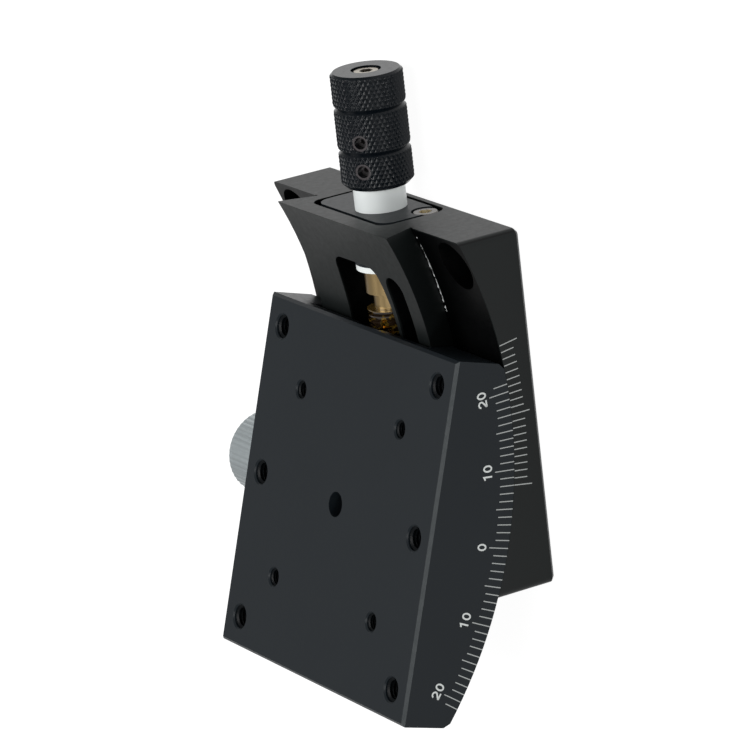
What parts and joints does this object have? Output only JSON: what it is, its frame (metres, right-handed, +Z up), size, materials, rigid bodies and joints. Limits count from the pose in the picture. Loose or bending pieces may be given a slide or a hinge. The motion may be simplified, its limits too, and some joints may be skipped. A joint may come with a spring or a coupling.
{
  "type": "goniometer stage",
  "caption": "Worm-driven goniometer stage: a square platform on a curved dovetail tilts about an axis above it, with a drive knob, a clamp knob, a degree scale and a vernier.",
  "frame": {"origin": "centre of the base's bottom face", "axes": "+X along the worm shaft towards the drive knob, +Y towards the clamp knob, +Z up through the platform; the scale faces -Y"},
  "size_m": [0.1017, 0.0752, 0.0312],
  "materials": {
    "black_anodised": "black anodised, fine satin",
    "brass": "machined",
    "steel": "machined",
    "white_plastic": "natural, slightly translucent",
    "knurled_grey": "knurled, satin",
    "bronze": "sintered"
  },
  "bodies": {
    "base": {"base_block": "black_anodised", "worm_carrier": "black_anodised", "carrier_screws": "steel", "front_bushing": "white_plastic", "rear_bushing": "bronze", "thrust_washer": "white_plastic", "stop_pin": "steel"},
    "stage": {"stage_block": "black_anodised", "gear_sector": "brass", "sector_screws": "steel", "gib": "brass", "gib_screws": "steel"},
    "drive": {"worm": "brass", "worm_shaft": "steel", "worm_pin": "steel", "retaining_ring": "steel", "knob": "black_anodised", "knob_grub_screws": "steel"},
    "clamp_pad": {"lock_pad": "brass"},
    "clamp_screw": {"lock_knob": "knurled_grey", "lock_stud": "steel"}
  },
  "joints": [
    {"name": "tilt", "type": "hinge", "parent": "base", "child": "stage", "pos_m": [0, 0, 0.08], "axis": [0, 1, 0], "range_deg": [-37, 3]},
    {"name": "worm_spin", "type": "hinge", "parent": "base", "child": "drive", "pos_m": [0, 0, 0.00775], "axis": [1, 0, 0], "continuous": true},
    {"name": "clamp_advance", "type": "slide", "parent": "stage", "child": "clamp_pad", "axis": [0, -1, 0], "range_m": [-0.00018, 0.00012]},
    {"name": "clamp_turn", "type": "hinge", "parent": "clamp_pad", "child": "clamp_screw", "pos_m": [-0.02111, 0.038, 0.01095], "axis": [0, -1, 0], "range_deg": [-90, 60]}
  ],
  "couplings": [
    {"joint": "worm_spin", "follows": "tilt", "ratio": 456},
    {"joint": "clamp_advance", "follows": "clamp_turn", "m_per_rad": 0.00011141}
  ]
}
